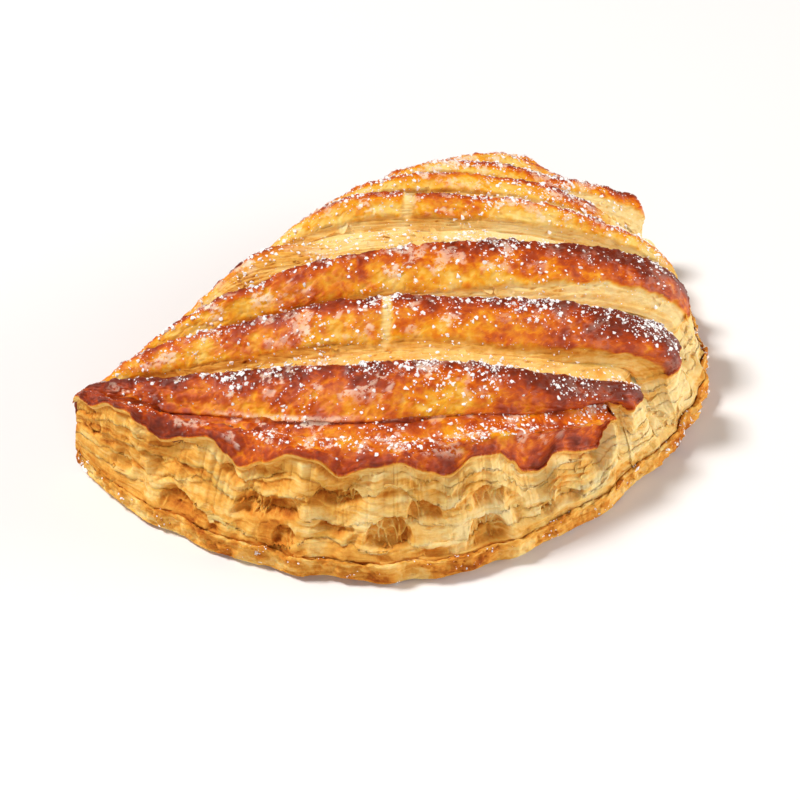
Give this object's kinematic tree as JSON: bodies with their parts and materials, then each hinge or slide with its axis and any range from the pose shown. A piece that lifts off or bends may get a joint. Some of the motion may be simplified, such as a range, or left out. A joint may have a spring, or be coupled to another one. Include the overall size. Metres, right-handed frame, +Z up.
{
  "type": "baked turnover pastry",
  "caption": "Half-moon turnover of puff pastry with a scored, domed, egg-washed top crust, a rounded fold, a flaky open cut side and a base sheet that stands out as a rim.",
  "frame": {"origin": "on the surface that the pastry lies on, under the middle of its bounding box", "axes": "+X along the fold from the tip shown at the left to the hidden one, +Y from the cut side to the fold, +Z up"},
  "size_m": [0.16, 0.1004, 0.0417],
  "materials": {
    "baked_puff_pastry": "glossy golden-brown egg-washed crust over pale, matte, flaky layers"
  },
  "bodies": {
    "root": {"turnover": "baked_puff_pastry"}
  },
  "joints": []
}
